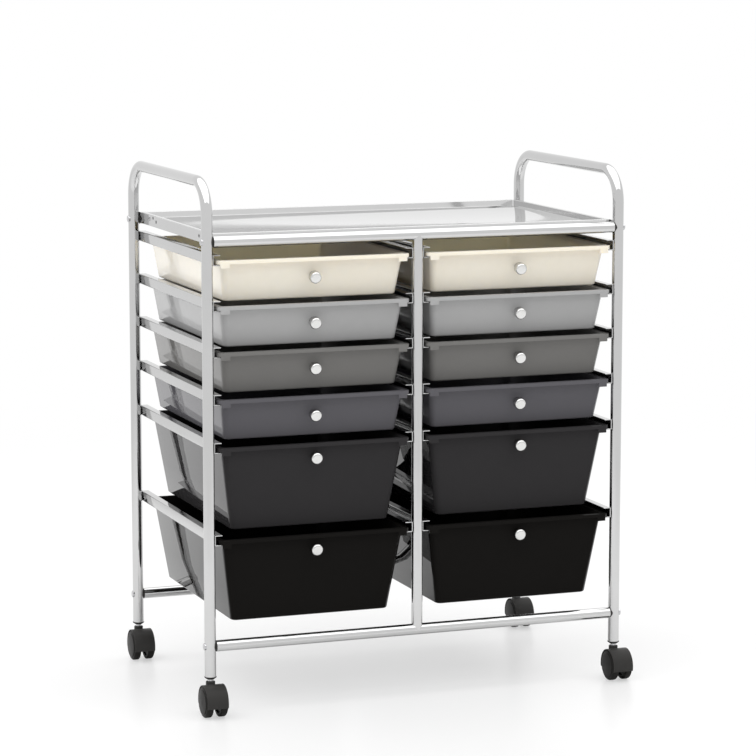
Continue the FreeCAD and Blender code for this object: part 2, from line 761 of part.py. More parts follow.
def casterStem():
    body = newBody("stem")
    profile = newSketch(body, "stem_profile", "XZ_Plane")
    outline(profile, [
        ("0", "stem_low"),
        ("stem_radius", "stem_low"),
        ("stem_radius", "stem_shoulder"),
        ("stem_end_radius", "stem_top"),
        ("0", "stem_top"),
    ])
    revolve(body, profile, "V_Axis")
    return body


def casterSocket():
    """A plastic plug in the lower tube end, with a domed flange and a blind bore for the stem."""
    body = newBody("socket")
    profile = newSketch(body, "socket_profile", "XZ_Plane")
    outline(profile, [
        ("socket_bore", "socket_low"),
        ("socket_flange_radius", "socket_low"),
        ("socket_flange_radius", "tube_low_end"),
        ("tube_bore", "tube_low_end"),
        ("tube_bore", "socket_top"),
        ("0", "socket_top"),
        ("0", "socket_bore_end"),
        ("socket_bore", "socket_bore_end"),
    ])
    revolve(body, profile, "V_Axis")

    def flangeEdge(edge):
        return levelAt(size("socket_low"))(edge) and edge.BoundBox.XMax > size("tube_bore")

    roundEdges(body, "sizes.socket_dome", flangeEdge)
    return body


def casterWheel():
    """The right-hand wheel: round-shouldered tread, a disc set off by a groove, a hollow back."""
    body = newBody("wheel")
    profile = newSketch(body, "wheel_profile", "XY_Plane")
    outline(profile, [
        ("wheel_bore_end", "0"),
        ("wheel_bore_end", "wheel_bore"),
        ("wheel_inner_face", "wheel_bore"),
        ("wheel_inner_face", "wheel_hub_radius"),
        ("wheel_hollow_floor", "wheel_hub_radius"),
        ("wheel_hollow_floor", "wheel_hollow_radius"),
        ("wheel_inner_face", "wheel_hollow_radius"),
        ("wheel_inner_face", "wheel_radius"),
        ("wheel_groove_floor", "wheel_radius"),
        ("wheel_groove_floor", "wheel_disc_radius"),
        ("wheel_outer_face", "wheel_disc_radius"),
        ("wheel_outer_face", "0"),
    ])
    revolve(body, profile, "H_Axis")
    roundEdges(body, "sizes.wheel_tread_round", ringAt(size("wheel_groove_floor"), size("wheel_radius")))
    return body


def casters():
    hood, stem, socket, wheel = casterHood(), casterStem(), casterSocket(), casterWheel()
    axle = rod("axle", "sizes.axle_radius", "2 * sizes.axle_half", alongX)
    sockets = []
    for end, y in ends.items():
        for side, x in sides.items():
            corner = f"{end}_{side}_caster"
            atAxle = {"x": x, "y": f"{y} - sizes.caster_trail", "z": "sizes.wheel_radius"}
            node(copyOf(hood, corner + "_hood_copy", **atAxle), corner + "_hood")
            node(copyOf(stem, corner + "_stem_copy", x=x, y=y), corner + "_stem")
            atAxleEnd = {**atAxle, "x": f"{x} - sizes.axle_half"}
            node(copyOf(axle, corner + "_axle_copy", alongX, **atAxleEnd), corner + "_axle")
            for wheelSide in sides:
                name = f"{corner}_{wheelSide}_wheel"
                node(copyOf(wheel, name + "_copy", outward[wheelSide], **atAxle), name)
            sockets.append(copyOf(socket, corner + "_socket_copy", x=x, y=y))
    node(group("sockets", sockets), "caster_sockets")


# The whole cart, then a check of every object before anything is written

sidePosts = postEnvelopes(sides)
midPosts = postEnvelopes({"middle": "0"})
barShapes = barEnvelopes("bar_envelope", "sizes.tube_radius")
tubes(barShapes)
rails(sidePosts, midPosts)
traySupports(sidePosts, barShapes)
topTray()
boltsAndPlugs()
drawers()
casters()
doc.recompute()

for thing in doc.Objects:
    if "Invalid" in thing.State or "Error" in thing.State:
        raise RuntimeError(f"{thing.Name} failed: {thing.State}")
shapes = {thing.Label: Part.getShape(thing) for thing in nodes}
for label, shape in shapes.items():
    if shape.isNull() or not shape.isValid() or not shape.Solids:
        raise RuntimeError(f"{label} has no valid solid")
os.makedirs("parts", exist_ok=True)
for label, shape in shapes.items():
    shape.exportStep(f"parts/{label}.step")
print(f"{len(shapes)} nodes written")
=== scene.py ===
import bpy
import math
from mathutils import Matrix, Vector


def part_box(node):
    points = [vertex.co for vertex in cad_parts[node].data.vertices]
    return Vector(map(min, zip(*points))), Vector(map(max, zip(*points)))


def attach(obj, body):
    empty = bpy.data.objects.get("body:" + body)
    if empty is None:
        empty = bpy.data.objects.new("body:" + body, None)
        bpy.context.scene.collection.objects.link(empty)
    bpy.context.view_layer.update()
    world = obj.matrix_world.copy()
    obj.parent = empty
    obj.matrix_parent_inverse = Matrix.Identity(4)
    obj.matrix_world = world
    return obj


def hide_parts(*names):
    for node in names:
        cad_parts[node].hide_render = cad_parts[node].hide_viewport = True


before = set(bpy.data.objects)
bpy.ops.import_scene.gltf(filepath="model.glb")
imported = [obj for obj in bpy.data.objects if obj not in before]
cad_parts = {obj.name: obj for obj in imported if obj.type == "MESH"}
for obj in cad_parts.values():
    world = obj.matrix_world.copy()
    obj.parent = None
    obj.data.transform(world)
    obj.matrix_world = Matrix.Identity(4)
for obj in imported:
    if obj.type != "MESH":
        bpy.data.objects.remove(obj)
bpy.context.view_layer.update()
mm = 0.001
tiny = 0.01 * mm  # points closer than this are one point
sameHeight = 0.05 * mm
alongAxis = 0.9  # a face whose normal has this much of an axis faces along it
sides = ("left", "right")
ends = ("front", "rear")
rows = (1, 2, 3, 4, 5, 6)
print("frame loaded:", len(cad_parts), "nodes")


# working with operators

def deselectAll():
    if bpy.context.mode != "OBJECT":
        bpy.ops.object.mode_set(mode="OBJECT")
    bpy.ops.object.select_all(action="DESELECT")


def makeActive(piece):
    deselectAll()
    piece.select_set(True)
    bpy.context.view_layer.objects.active = piece


def settle():  # the primitive just added: its place goes into its mesh
    bpy.ops.object.transform_apply(location=True, rotation=True, scale=True)
    return bpy.context.active_object


def addRing(radius, at, turn=(0, 0, 0), points=48):
    deselectAll()
    bpy.ops.mesh.primitive_circle_add(vertices=points, radius=radius, location=at, rotation=turn)
    return settle()


def addPlate(size, at, turn=(0, 0, 0)):
    deselectAll()
    bpy.ops.mesh.primitive_plane_add(size=1, location=at, rotation=turn)
    bpy.context.active_object.scale = (size[0], size[1], 1)
    return settle()


def addBlock(low, high):
    deselectAll()
    low, high = Vector(low), Vector(high)
    bpy.ops.mesh.primitive_cube_add(size=1, location=(low + high) / 2)
    bpy.context.active_object.scale = high - low
    return settle()


def grab(piece, kind, wanted):  # edit mode, with the wanted verts, edges or faces selected
    makeActive(piece)
    mesh = piece.data
    points = mesh.vertices
    for part in (points, mesh.edges, mesh.polygons):
        part.foreach_set("select", [False] * len(part))
    if kind == "VERT":
        for point in points:
            point.select = wanted(point.co)
    elif kind == "EDGE":
        for edge in mesh.edges:
            edge.select = wanted(*(points[index].co for index in edge.vertices))
    else:
        for face in mesh.polygons:
            face.select = wanted(face.center, face.normal)
    bpy.context.tool_settings.mesh_select_mode = [kind == name for name in ("VERT", "EDGE", "FACE")]
    bpy.ops.object.mode_set(mode="EDIT")


def grabAll(piece):
    grab(piece, "VERT", lambda point: True)


def extrude(x=0.0, y=0.0, z=0.0):
    bpy.ops.mesh.extrude_region_move(TRANSFORM_OT_translate={"value": (x, y, z)})


def stretch(x=1.0, y=1.0, z=1.0, about=(0, 0, 0)):
    bpy.ops.transform.resize(value=(x, y, z), center_override=about)


def leaveEdit():
    bpy.ops.object.mode_set(mode="OBJECT")


def faceOutwards(piece):
    grabAll(piece)
    bpy.ops.mesh.remove_doubles(threshold=tiny)
    bpy.ops.mesh.normals_make_consistent(inside=False)
    leaveEdit()


def isLevel(a, b, height):
    return abs(a.z - height) < sameHeight and abs(b.z - height) < sameHeight


def grabLoop(piece, height):
    grab(piece, "EDGE", lambda a, b: isLevel(a, b, height))


def cutAcross(piece, point, normal):
    grabAll(piece)
    bpy.ops.mesh.bisect(plane_co=point, plane_no=normal)
    leaveEdit()


def faceAwayFrom(piece, inside):  # an open skin: every face turned away from a point inside it
    grab(piece, "FACE", lambda centre, normal: (centre - inside).dot(normal) < 0)
    bpy.ops.mesh.flip_normals()
    leaveEdit()


def faceFloorUp(piece, floorHeight):  # an open pan, seen from above
    grabAll(piece)
    bpy.ops.mesh.normals_make_consistent(inside=False)
    leaveEdit()
    floors = [face for face in piece.data.polygons if abs(face.center.z - floorHeight) < tiny]
    if floors[0].normal.z < 0:
        grabAll(piece)
        bpy.ops.mesh.flip_normals()
        leaveEdit()


def applyModifier(piece, kind, **settings):
    makeActive(piece)
    modifier = piece.modifiers.new(kind.lower(), kind)
    for name, value in settings.items():
        setattr(modifier, name, value)
    bpy.ops.object.modifier_apply(modifier=modifier.name)


def giveThickness(piece, wall):  # behind the faces, so the modelled skin stays where it is
    applyModifier(piece, "SOLIDIFY", thickness=wall, offset=-1, use_even_offset=True)


def softenEdges(piece, width, segments=2, angle=40):
    applyModifier(piece, "BEVEL", width=width, segments=segments, limit_method="ANGLE",
                  angle_limit=math.radians(angle), harden_normals=False)


def shadeSmooth(piece, angle=32):
    makeActive(piece)
    bpy.ops.object.shade_smooth_by_angle(angle=math.radians(angle))


def copyPiece(piece, name, move=(0, 0, 0), turnZ=0.0):
    copy = piece.copy()
    copy.data = piece.data.copy()
    bpy.context.scene.collection.objects.link(copy)
    copy.data.transform(Matrix.Translation(move) @ Matrix.Rotation(turnZ, 4, "Z"))
    copy.name = copy.data.name = name
    return copy


def joinPieces(pieces, name):
    makeActive(pieces[0])
    for piece in pieces:
        piece.select_set(True)
    bpy.ops.object.join()
    pieces[0].name = pieces[0].data.name = name
    return pieces[0]


def removePiece(piece):
    bpy.data.objects.remove(piece)


def lathe(profile, points=48):  # rings up the Z axis from (height, radius) pairs; radius 0 closes an end
    pole = 0.004 * mm
    height, radius = profile[0][0], max(profile[0][1], pole)
    piece = addRing(radius, (0, 0, height), points=points)
    grabAll(piece)
    for nextHeight, nextRadius in profile[1:]:
        nextRadius = max(nextRadius, pole)
        extrude(z=nextHeight - height)
        stretch(nextRadius / radius, nextRadius / radius, 1, (0, 0, nextHeight))
        height, radius = nextHeight, nextRadius
    leaveEdit()
    faceOutwards(piece)
    return piece


def quarterRound(start, corner, end, steps):  # from start to end of a lathe profile, inside the corner
    points = []
    for step in range(steps + 1):
        sweep = 0.5 * math.pi * step / steps
        points.append(tuple(corner[i] + (start[i] - corner[i]) * (1 - math.sin(sweep))
                            + (end[i] - corner[i]) * (1 - math.cos(sweep)) for i in (0, 1)))
    return points


def roundOut(height, radius, fillet, steps=5):  # from a lower end out to the side
    return quarterRound((height, radius - fillet), (height, radius), (height + fillet, radius), steps)


def roundOver(height, radius, fillet, steps=5):  # from the side over to an upper end
    return quarterRound((height - fillet, radius), (height, radius), (height, radius - fillet), steps)


def combine(piece, other, operation):
    makeActive(piece)
    modifier = piece.modifiers.new("combine", "BOOLEAN")
    modifier.object, modifier.operation, modifier.solver = other, operation, "EXACT"
    bpy.ops.object.modifier_apply(modifier=modifier.name)
    removePiece(other)


def barrel(radius, start, end, points=96):  # a closed cylinder along X, about the X axis
    piece = addRing(radius, (start, 0, 0), (0, math.pi / 2, 0), points)
    grabAll(piece)
    bpy.ops.mesh.edge_face_add()
    extrude(x=end - start)
    leaveEdit()
    faceOutwards(piece)
    return piece


def standFor(piece, node, body, material):
    piece.data.materials.clear()
    piece.data.materials.append(material)
    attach(piece, body)
    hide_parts(node)


# materials

def toLinear(red, green, blue):  # from screen values of 0 to 255
    def channel(value):
        value /= 255
        return value / 12.92 if value <= 0.04045 else ((value + 0.055) / 1.055) ** 2.4
    return channel(red), channel(green), channel(blue), 1.0


mottleShape = {"coarseDetail": 3.0, "fineDetail": 2.0, "fineShare": 0.35, "from": 0.45, "to": 0.95,
               "tint": 0.03, "tintCoarse": 0.6, "tintFine": 0.2}


def fineMottleGroup():  # two sizes of soft noise, as a value from Low to High and as a bump height
    group = bpy.data.node_groups.new("fineMottle", "ShaderNodeTree")
    for socket in ("Coarse", "Fine", "Low", "High"):
        group.interface.new_socket(socket, in_out="INPUT", socket_type="NodeSocketFloat")
    for socket in ("Value", "Height"):
        group.interface.new_socket(socket, in_out="OUTPUT", socket_type="NodeSocketFloat")
    nodes, links = group.nodes, group.links
    given = nodes.new("NodeGroupInput")
    result = nodes.new("NodeGroupOutput")
    place = nodes.new("ShaderNodeTexCoord")
    coarse = nodes.new("ShaderNodeTexNoise")
    coarse.inputs["Detail"].default_value = mottleShape["coarseDetail"]
    fine = nodes.new("ShaderNodeTexNoise")
    fine.inputs["Detail"].default_value = mottleShape["fineDetail"]
    both = nodes.new("ShaderNodeMath")
    both.operation = "MULTIPLY_ADD"
    both.inputs[1].default_value = mottleShape["fineShare"]
    spread = nodes.new("ShaderNodeMapRange")
    spread.inputs["From Min"].default_value = mottleShape["from"]
    spread.inputs["From Max"].default_value = mottleShape["to"]
    for noise, scale in ((coarse, "Coarse"), (fine, "Fine")):
        links.new(place.outputs["Object"], noise.inputs["Vector"])
        links.new(given.outputs[scale], noise.inputs["Scale"])
    links.new(fine.outputs["Fac"], both.inputs[0])
    links.new(coarse.outputs["Fac"], both.inputs[2])
    links.new(both.outputs[0], spread.inputs["Value"])
    links.new(given.outputs["Low"], spread.inputs["To Min"])
    links.new(given.outputs["High"], spread.inputs["To Max"])
    links.new(spread.outputs["Result"], result.inputs["Value"])
    links.new(fine.outputs["Fac"], result.inputs["Height"])
    return group


mottle = fineMottleGroup()


def newMaterial(name, finish):
    material = bpy.data.materials.new(name)
    material.use_nodes = True
    nodes, links = material.node_tree.nodes, material.node_tree.links
    shader = nodes["Principled BSDF"]
    shader.inputs["Metallic"].default_value = finish["metallic"]
    surface = nodes.new("ShaderNodeGroup")
    surface.node_tree = mottle
    surface.inputs["Coarse"].default_value = finish["coarse"]
    surface.inputs["Fine"].default_value = finish["fine"]
    surface.inputs["Low"].default_value, surface.inputs["High"].default_value = finish["roughness"]
    links.new(surface.outputs["Value"], shader.inputs["Roughness"])
    tone = nodes.new("ShaderNodeGroup")  # the same mottle, slower, as a faint change of tone
    tone.node_tree = mottle
    tone.inputs["Coarse"].default_value = mottleShape["tintCoarse"] * finish["coarse"]
    tone.inputs["Fine"].default_value = mottleShape["tintFine"] * finish["fine"]
    tone.inputs["Low"].default_value = 1 - mottleShape["tint"]
    tone.inputs["High"].default_value = 1 + mottleShape["tint"]
    shade = nodes.new("ShaderNodeMix")
    shade.data_type = "RGBA"
    shade.blend_type = "MULTIPLY"
    shade.inputs["Factor"].default_value = 1.0
    shade.inputs["A"].default_value = finish["colour"]
    links.new(tone.outputs["Value"], shade.inputs["B"])
    links.new(shade.outputs["Result"], shader.inputs["Base Color"])
    relief = nodes.new("ShaderNodeBump")
    relief.inputs["Strength"].default_value, relief.inputs["Distance"].default_value = finish["bump"]
    links.new(surface.outputs["Height"], relief.inputs["Height"])
    links.new(relief.outputs["Normal"], shader.inputs["Normal"])
    return material


mouldedGloss = {"ior": 1.58, "specular": 0.0, "casterSpecular": 0.06, "sheenFrom": 0.25, "sheenTo": 0.6,
                "sheenMost": 0.85, "coatRoughness": 0.012, "coatIor": 1.6, "outsideFade": 0.25}


def outsideGroup(column, middleY):  # 1 on what faces away from the middle of a tub, 0 inside it
    group = bpy.data.node_groups.new("outsideOfTub", "ShaderNodeTree")
    group.interface.new_socket("Value", in_out="OUTPUT", socket_type="NodeSocketFloat")
    nodes, links = group.nodes, group.links
    result = nodes.new("NodeGroupOutput")
    place = nodes.new("ShaderNodeTexCoord")
    parts = nodes.new("ShaderNodeSeparateXYZ")
    across = nodes.new("ShaderNodeMath")  # both columns measured from their own left edge
    across.operation = "FLOORED_MODULO"
    across.inputs[1].default_value = column
    flat = nodes.new("ShaderNodeCombineXYZ")
    outwards = nodes.new("ShaderNodeVectorMath")
    outwards.operation = "SUBTRACT"
    outwards.inputs[1].default_value = (column / 2, middleY, 0)
    faces = nodes.new("ShaderNodeVectorMath")
    faces.operation = "DOT_PRODUCT"
    spread = nodes.new("ShaderNodeMapRange")
    spread.inputs["From Max"].default_value = mouldedGloss["outsideFade"] * column
    links.new(place.outputs["Object"], parts.inputs[0])
    links.new(parts.outputs["X"], across.inputs[0])
    links.new(across.outputs[0], flat.inputs["X"])
    links.new(parts.outputs["Y"], flat.inputs["Y"])
    links.new(flat.outputs[0], outwards.inputs[0])
    links.new(outwards.outputs[0], faces.inputs[0])
    links.new(place.outputs["Normal"], faces.inputs[1])
    links.new(faces.outputs["Value"], spread.inputs["Value"])
    links.new(spread.outputs["Result"], result.inputs["Value"])
    return group


tubLow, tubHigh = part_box("left_drawer_1_tub")
outsideOfTub = outsideGroup(-(tubLow.x + tubHigh.x), (tubLow.y + tubHigh.y) / 2)


def polish(material, coated):  # dull when faced; on tubs a gloss outside that comes up at a low angle
    nodes, links = material.node_tree.nodes, material.node_tree.links
    shader = nodes["Principled BSDF"]
    shader.inputs["IOR"].default_value = mouldedGloss["ior"]
    specular = mouldedGloss["specular" if coated else "casterSpecular"]
    shader.inputs["Specular IOR Level"].default_value = specular
    if coated:
        shader.inputs["Coat IOR"].default_value = mouldedGloss["coatIor"]
        shader.inputs["Coat Roughness"].default_value = mouldedGloss["coatRoughness"]
        facing = nodes.new("ShaderNodeLayerWeight")
        rise = nodes.new("ShaderNodeMapRange")
        rise.interpolation_type = "SMOOTHSTEP"
        rise.inputs["From Min"].default_value = mouldedGloss["sheenFrom"]
        rise.inputs["From Max"].default_value = mouldedGloss["sheenTo"]
        rise.inputs["To Max"].default_value = mouldedGloss["sheenMost"]
        links.new(facing.outputs["Facing"], rise.inputs["Value"])
        outside = nodes.new("ShaderNodeGroup")
        outside.node_tree = outsideOfTub
        weight = nodes.new("ShaderNodeMath")
        weight.operation = "MULTIPLY"
        links.new(rise.outputs["Result"], weight.inputs[0])
        links.new(outside.outputs["Value"], weight.inputs[1])
        links.new(weight.outputs[0], shader.inputs["Coat Weight"])


def grey(share):
    return share, share, share, 1


# roughness runs between two values, coarse and fine are scales of noise, bump is strength and height
finishes = {
    "frameChrome": {"colour": grey(0.57), "metallic": 1.0, "roughness": (0.03, 0.07),
                    "coarse": 9, "fine": 240, "bump": (0.02, 0.02 * mm)},
    "railChrome": {"colour": grey(0.52), "metallic": 1.0, "roughness": (0.06, 0.12),
                   "coarse": 14, "fine": 320, "bump": (0.03, 0.03 * mm)},
    "trayChrome": {"colour": grey(0.62), "metallic": 1.0, "roughness": (0.05, 0.10),
                   "coarse": 6, "fine": 260, "bump": (0.03, 0.03 * mm)},
    "fastenerSteel": {"colour": (0.52, 0.52, 0.53, 1), "metallic": 1.0, "roughness": (0.06, 0.12),
                      "coarse": 60, "fine": 900, "bump": (0.05, 0.05 * mm)},
    "knobMetal": {"colour": (0.66, 0.66, 0.65, 1), "metallic": 1.0, "roughness": (0.08, 0.14),
                  "coarse": 60, "fine": 1500, "bump": (0.03, 0.02 * mm)},
    "casterPlastic": {"colour": toLinear(56, 55, 54), "metallic": 0.0, "roughness": (0.30, 0.42),
                      "coarse": 60, "fine": 1200, "bump": (0.08, 0.05 * mm)},
    "wheelPlastic": {"colour": toLinear(34, 33, 32), "metallic": 0.0, "roughness": (0.32, 0.45),
                     "coarse": 60, "fine": 1200, "bump": (0.08, 0.05 * mm)},
}
finished = {name: newMaterial(name, finish) for name, finish in finishes.items()}
for name in ("casterPlastic", "wheelPlastic"):
    polish(finished[name], False)

tubFinish = {"metallic": 0.0, "roughness": (0.16, 0.24), "coarse": 8, "fine": 420, "bump": (0.05, 0.04 * mm)}
drawerColours = {
    1: ("drawer_cream", (251, 239, 221)),
    2: ("drawer_light_grey", (171, 171, 171)),
    3: ("drawer_mid_grey", (118, 117, 115)),
    4: ("drawer_dark_grey", (95, 94, 98)),
    5: ("drawer_charcoal", (53, 52, 53)),
    6: ("drawer_black", (27, 26, 25)),
}
drawerPlastic = {}
for row, (slot, colour) in drawerColours.items():
    drawerPlastic[row] = newMaterial(slot, dict(tubFinish, colour=toLinear(*colour)))
    polish(drawerPlastic[row], True)

paleWall = {"weight": 0.6, "radius": (1.0, 0.93, 0.78), "scale": 5.0 * mm}  # lets some light through
pale = drawerPlastic[rows[0]].node_tree.nodes["Principled BSDF"].inputs
pale["Subsurface Weight"].default_value = paleWall["weight"]
pale["Subsurface Radius"].default_value = paleWall["radius"]
pale["Subsurface Scale"].default_value = paleWall["scale"]
print("materials made")


# frame tubes

tubeShape = {"bend": 46.0 * mm, "wall": 1.2 * mm, "points": 48, "bendSteps": 18, "intoBar": 1.0 * mm}


def sideFrame(name):
    low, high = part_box(name)
    radius = (high.x - low.x) / 2
    bend = tubeShape["bend"]
    x, front, rear, top = (low.x + high.x) / 2, low.y + radius, high.y - radius, high.z - radius
    piece = addRing(radius, (x, front, low.z), points=tubeShape["points"])
    grabAll(piece)
    extrude(z=top - bend - low.z)
    bpy.ops.mesh.spin(steps=tubeShape["bendSteps"], angle=math.pi / 2,
                      center=(x, front + bend, top - bend), axis=(1, 0, 0))
    extrude(y=rear - front - 2 * bend)
    bpy.ops.mesh.spin(steps=tubeShape["bendSteps"], angle=math.pi / 2,
                      center=(x, rear - bend, top - bend), axis=(1, 0, 0))
    extrude(z=low.z - (top - bend))
    leaveEdit()
    faceOutwards(piece)
    giveThickness(piece, tubeShape["wall"])
    shadeSmooth(piece)
    piece.name = piece.data.name = name.replace("side_frame", "bent_tube")
    standFor(piece, name, "frame", finished["frameChrome"])


def straightTube(node, along, inset=0.0):
    low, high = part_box(node)
    middle = (low + high) / 2
    axis = "xyz".index(along)
    radius = (high[1] - low[1]) / 2
    start, reach = middle.copy(), high[axis] - low[axis] - 2 * inset
    start[axis] = low[axis] + inset
    turn = (0, math.pi / 2, 0) if along == "x" else (0, 0, 0)
    piece = addRing(radius, start, turn, tubeShape["points"])
    grabAll(piece)
    extrude(**{along: reach})
    leaveEdit()
    faceOutwards(piece)
    giveThickness(piece, tubeShape["wall"])
    shadeSmooth(piece)
    piece.name = piece.data.name = node + "_tube"
    standFor(piece, node, "frame", finished["frameChrome"])


for side in sides:
    sideFrame(side + "_side_frame")
for end in ends:
    straightTube(end + "_bottom_bar", "x")
    straightTube(end + "_top_bar", "x")
    straightTube(end + "_mid_post", "z", tubeShape["intoBar"])
print("tubes made")


# drawer rails

railShape = {"sheet": 1.2 * mm, "bend": 1.7 * mm, "edge": 0.25 * mm, "height": 14.8 * mm,
             "aboveRim": 0.3 * mm}


def channel(length, depth, middleY):  # opens towards +X, web at x = 0, about z = 0
    half = railShape["height"] / 2
    piece = addPlate((2 * half, length), (0, middleY, 0), (0, -math.pi / 2, 0))
    for side in (-1, 1):
        grabLoop(piece, side * half)
        extrude(x=depth)
    grab(piece, "EDGE", lambda a, b: max(abs(a.x), abs(b.x)) < tiny and abs(a.z - b.z) < tiny)
    bpy.ops.mesh.bevel(offset=railShape["bend"], segments=4, affect="EDGES")
    leaveEdit()
    faceAwayFrom(piece, Vector((depth / 2, middleY, 0)))
    giveThickness(piece, railShape["sheet"])
    softenEdges(piece, railShape["edge"], segments=1, angle=60)
    shadeSmooth(piece)
    return piece


def railHeights():
    return [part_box(f"left_drawer_{row}_tub")[1].z + railShape["aboveRim"] for row in rows]


def drawerRails():
    low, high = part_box("left_outer_rails")
    depth = high.x - low.x
    middleLow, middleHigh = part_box("middle_rails")
    master = channel(high.y - low.y, depth, (low.y + high.y) / 2)
    turned = Matrix.Translation((0, low.y + high.y, 0)) @ Matrix.Rotation(math.pi, 4, "Z")
    places = {"left_outer_rails": [(low.x, False)],
              "right_outer_rails": [(-low.x, True)],
              "middle_rails": [(middleHigh.x - depth, False), (middleLow.x + depth, True)]}
    for node, columns in places.items():
        pieces = []
        for x, back in columns:
            for height in railHeights():
                rail = copyPiece(master, "rail")
                if back:
                    rail.data.transform(turned)
                rail.data.transform(Matrix.Translation((x, 0, height)))
                pieces.append(rail)
        joined = joinPieces(pieces, node + "_channels")
        standFor(joined, node, "frame", finished["railChrome"])
    removePiece(master)


drawerRails()
print("rails made")


# top tray: a pan pressed and folded from one sheet

trayShape = {"sheet": 1.0 * mm, "rimWidth": 5.5 * mm, "wallHeight": 8.8 * mm, "corner": 3.0 * mm,
             "rimFold": 0.6 * mm, "floorFold": 0.4 * mm}
trayHoles = {"radius": 2.5 * mm, "drill": 2.0 * mm, "shift": 15.4 * mm,  # behind the ones in the angles
             "reachAndHeight": ((106.0 * mm, 668.6 * mm), (121.5 * mm, 672.9 * mm))}


def trayPan():
    low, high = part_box("top_tray")
    middle = (low + high) / 2
    rim = trayShape["rimWidth"]
    panX, panY = high.x - low.x - 2 * rim, high.y - low.y - 2 * rim
    floorHeight = high.z - trayShape["wallHeight"]
    piece = addPlate((panX, panY), (middle.x, middle.y, floorHeight))
    grabAll(piece)
    bpy.ops.mesh.bevel(offset=trayShape["corner"], segments=6, affect="VERTICES")
    grab(piece, "EDGE", lambda a, b: True)
    bpy.ops.mesh.extrude_edges_move(TRANSFORM_OT_translate={"value": (0, 0, trayShape["wallHeight"])})
    grabLoop(piece, high.z)
    extrude()
    stretch(1 + 2 * rim / panX, 1 + 2 * rim / panY, 1, middle)
    extrude(z=low.z - high.z)
    leaveEdit()
    faceFloorUp(piece, floorHeight)
    # the two folds that run round the rim, without the short edges across it
    grab(piece, "EDGE", lambda a, b: isLevel(a, b, high.z) and not rim < (b - a).length < 2 * rim)
    bpy.ops.mesh.bevel(offset=trayShape["rimFold"], segments=4, affect="EDGES")
    grabLoop(piece, floorHeight)
    bpy.ops.mesh.bevel(offset=trayShape["floorFold"], segments=4, affect="EDGES")
    leaveEdit()
    giveThickness(piece, trayShape["sheet"])
    skirtHoles(piece, low, high)
    shadeSmooth(piece)
    piece.name = piece.data.name = "tray_pan"
    standFor(piece, "top_tray", "frame", finished["trayChrome"])


def skirtHoles(pan, low, high):  # through the skirt at both sides
    radius, half = trayHoles["radius"], trayHoles["drill"]
    for side, edge in ((-1, low.x), (1, high.x)):
        middle = (low.y + high.y) / 2 + side * trayHoles["shift"]
        for reach, height in trayHoles["reachAndHeight"]:
            for y in (middle - reach, middle + reach):
                drill = barrel(radius, edge - half, edge + half, points=24)
                drill.data.transform(Matrix.Translation((0, y, height)))
                combine(pan, drill, "DIFFERENCE")


trayPan()
print("tray made")


# drawers: the inside skin of a tub with its rim and lip, then a wall behind it

tubShape = {"wall": 2.0 * mm, "sideToRim": 8.5 * mm, "frontToRim": 8.9 * mm, "rearToRim": 7.5 * mm,
            "corner": 7.0 * mm, "floorRound": 1.0 * mm, "lip": 5.0 * mm,
            "runner": 0.7 * mm, "runnerFront": 9.5 * mm, "runnerRear": 13.5 * mm, "stopDrop": 5.5 * mm,
            "stopInner": 124.5 * mm, "stopOuter": 137.5 * mm, "edge": 0.7 * mm}
tubLean = {"shallow": {"side": 7.5, "end": 12.5}, "deep": {"side": 8.5, "end": 8.0}}  # degrees
firstDeepRow = 5


def kindOf(row):
    return "shallow" if row < firstDeepRow else "deep"


def drawerTub(node, lean):
    low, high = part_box(node)
    middle = (low + high) / 2
    shape = tubShape
    inLow = Vector((low.x + shape["sideToRim"], low.y + shape["frontToRim"], low.z + shape["wall"]))
    inHigh = Vector((high.x - shape["sideToRim"], high.y - shape["rearToRim"], high.z))
    tub = addBlock(inLow, inHigh)
    depth = inHigh.z - inLow.z
    inMiddle = (inLow + inHigh) / 2
    narrow = 1 - 2 * depth * math.tan(math.radians(lean["side"])) / (inHigh.x - inLow.x)
    short = 1 - 2 * depth * math.tan(math.radians(lean["end"])) / (inHigh.y - inLow.y)
    grab(tub, "VERT", lambda point: point.z < inMiddle.z)  # the floor is smaller than the opening
    stretch(narrow, short, 1, inMiddle)
    grab(tub, "FACE", lambda centre, normal: normal.z > alongAxis)
    bpy.ops.mesh.delete(type="FACE")
    grab(tub, "EDGE", lambda a, b: abs(a.z - b.z) > 0.5 * depth)
    bpy.ops.mesh.bevel(offset=shape["corner"], segments=8, affect="EDGES")
    grabLoop(tub, inLow.z)
    bpy.ops.mesh.bevel(offset=shape["floorRound"], segments=5, affect="EDGES")
    leaveEdit()
    grabLoop(tub, high.z)  # the opening goes out to the rim, and the rim down to its lip
    extrude(y=middle.y - inMiddle.y)
    stretch((high.x - low.x) / (inHigh.x - inLow.x), (high.y - low.y) / (inHigh.y - inLow.y), 1, middle)
    extrude(z=-shape["lip"])
    leaveEdit()
    faceFloorUp(tub, inLow.z)
    giveThickness(tub, shape["wall"])
    runnersAndStops(tub, low, high, middle)
    softenEdges(tub, shape["edge"], segments=3, angle=50)
    shadeSmooth(tub, angle=40)
    return tub


